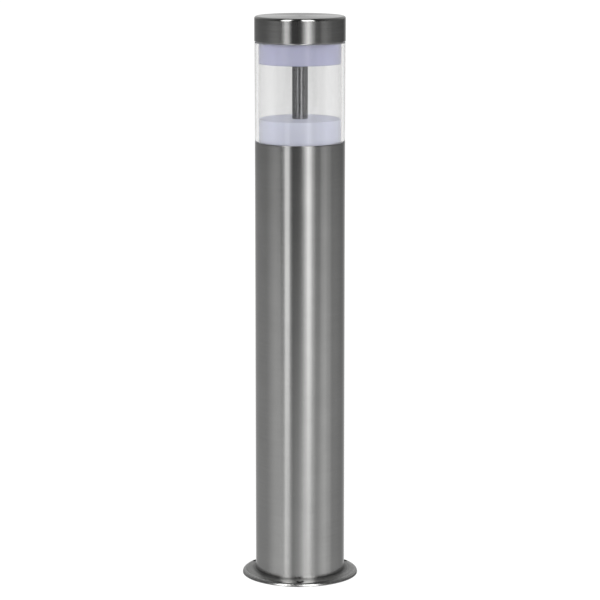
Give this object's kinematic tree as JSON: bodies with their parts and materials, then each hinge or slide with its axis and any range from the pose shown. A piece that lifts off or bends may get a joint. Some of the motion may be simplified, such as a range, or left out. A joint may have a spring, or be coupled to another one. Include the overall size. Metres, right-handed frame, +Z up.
{
  "type": "bollard light",
  "caption": "Low garden bollard light: brushed stainless post on a round foot flange, clear lantern tube with opal diffusers round a bright centre rod, and a screw-down cap.",
  "frame": {"origin": "centre of the foot flange, on the ground", "axes": "+Z up along the post, -Y towards the front anchor hole, +X to the right"},
  "size_m": [0.0988, 0.0988, 0.478],
  "materials": {
    "post_steel": "brushed stainless",
    "bright_steel": "polished stainless",
    "weld_steel": "as welded",
    "clear_polycarbonate": "clear, extruded",
    "opal_acrylic": "satin opal",
    "gasket_silicone": "translucent silicone",
    "cast_aluminium": "as cast",
    "sheet_aluminium": "mill finish",
    "zinc_steel": "zinc plated",
    "board_white": "solder mask",
    "led_phosphor": "phosphor gel",
    "white_nylon": "moulded",
    "board_green": "solder mask",
    "coil_tape": "polyester tape",
    "capacitor_sleeve": "shrink sleeve",
    "brass": "machined",
    "tinned_copper": "tinned",
    "black_nylon": "moulded",
    "seal_rubber": "moulded",
    "lead_brown": "extruded insulation",
    "lead_blue": "extruded insulation",
    "lead_green": "extruded insulation",
    "lead_red": "extruded insulation"
  },
  "bodies": {
    "root": {"post_tube": "post_steel", "base_flange": "post_steel", "rod_sleeve": "bright_steel", "flange_weld": "weld_steel", "lower_diffuser": "opal_acrylic", "upper_diffuser": "opal_acrylic", "lens_foot_gasket": "gasket_silicone", "head_casting": "cast_aluminium", "upper_carrier": "sheet_aluminium", "gear_tray": "sheet_aluminium", "tie_pipe": "zinc_steel", "lower_spacer": "zinc_steel", "upper_spacer": "zinc_steel", "upper_washer": "zinc_steel", "upper_nut": "zinc_steel", "lower_washer": "zinc_steel", "lower_nut": "zinc_steel", "lower_board_screws": "zinc_steel", "upper_board_screws": "zinc_steel", "tray_screws": "zinc_steel", "driver_screws": "zinc_steel", "terminal_fixings": "zinc_steel", "earth_screw": "zinc_steel", "earth_nut": "zinc_steel", "earth_washer": "zinc_steel", "lower_led_board": "board_white", "upper_led_board": "board_white", "lower_leds": "led_phosphor", "upper_leds": "led_phosphor", "lower_connector": "white_nylon", "upper_connector": "white_nylon", "driver_case": "white_nylon", "driver_lid": "white_nylon", "terminal_block": "white_nylon", "driver_board": "board_green", "driver_transformer": "coil_tape", "driver_capacitors": "capacitor_sleeve", "terminal_inserts": "brass", "terminal_screws": "brass", "earth_lug": "tinned_copper", "gland_body": "black_nylon", "gland_locknut": "black_nylon", "gland_seal": "seal_rubber", "live_lead": "lead_brown", "neutral_lead": "lead_blue", "earth_lead": "lead_green", "upper_leads": "lead_red", "lower_leads": "lead_red"},
    "lens": {"clear_lens": "clear_polycarbonate"},
    "cap_seat": {"cap_gasket": "gasket_silicone"},
    "cap": {"top_cap": "post_steel", "cap_weld_nut": "weld_steel"},
    "gland_nut": {"gland_nut": "black_nylon"}
  },
  "joints": [
    {"name": "lens_lift", "type": "slide", "parent": "root", "child": "lens", "axis": [0, 0, 1], "range_m": [0, 0.13]},
    {"name": "cap_rise", "type": "slide", "parent": "lens", "child": "cap_seat", "axis": [0, 0, 1], "range_m": [0, 0.00701]},
    {"name": "cap_turn", "type": "hinge", "parent": "cap_seat", "child": "cap", "pos_m": [0, 0, 0.467], "axis": [0, 0, 1], "range_deg": [0, 2520]},
    {"name": "gland_nut_turn", "type": "hinge", "parent": "root", "child": "gland_nut", "pos_m": [0, -0.004, 0.16], "axis": [0, 0, -1], "range_deg": [0, 720]}
  ],
  "couplings": [
    {"joint": "cap_rise", "follows": "cap_turn", "m_per_rad": 0.00015915}
  ]
}
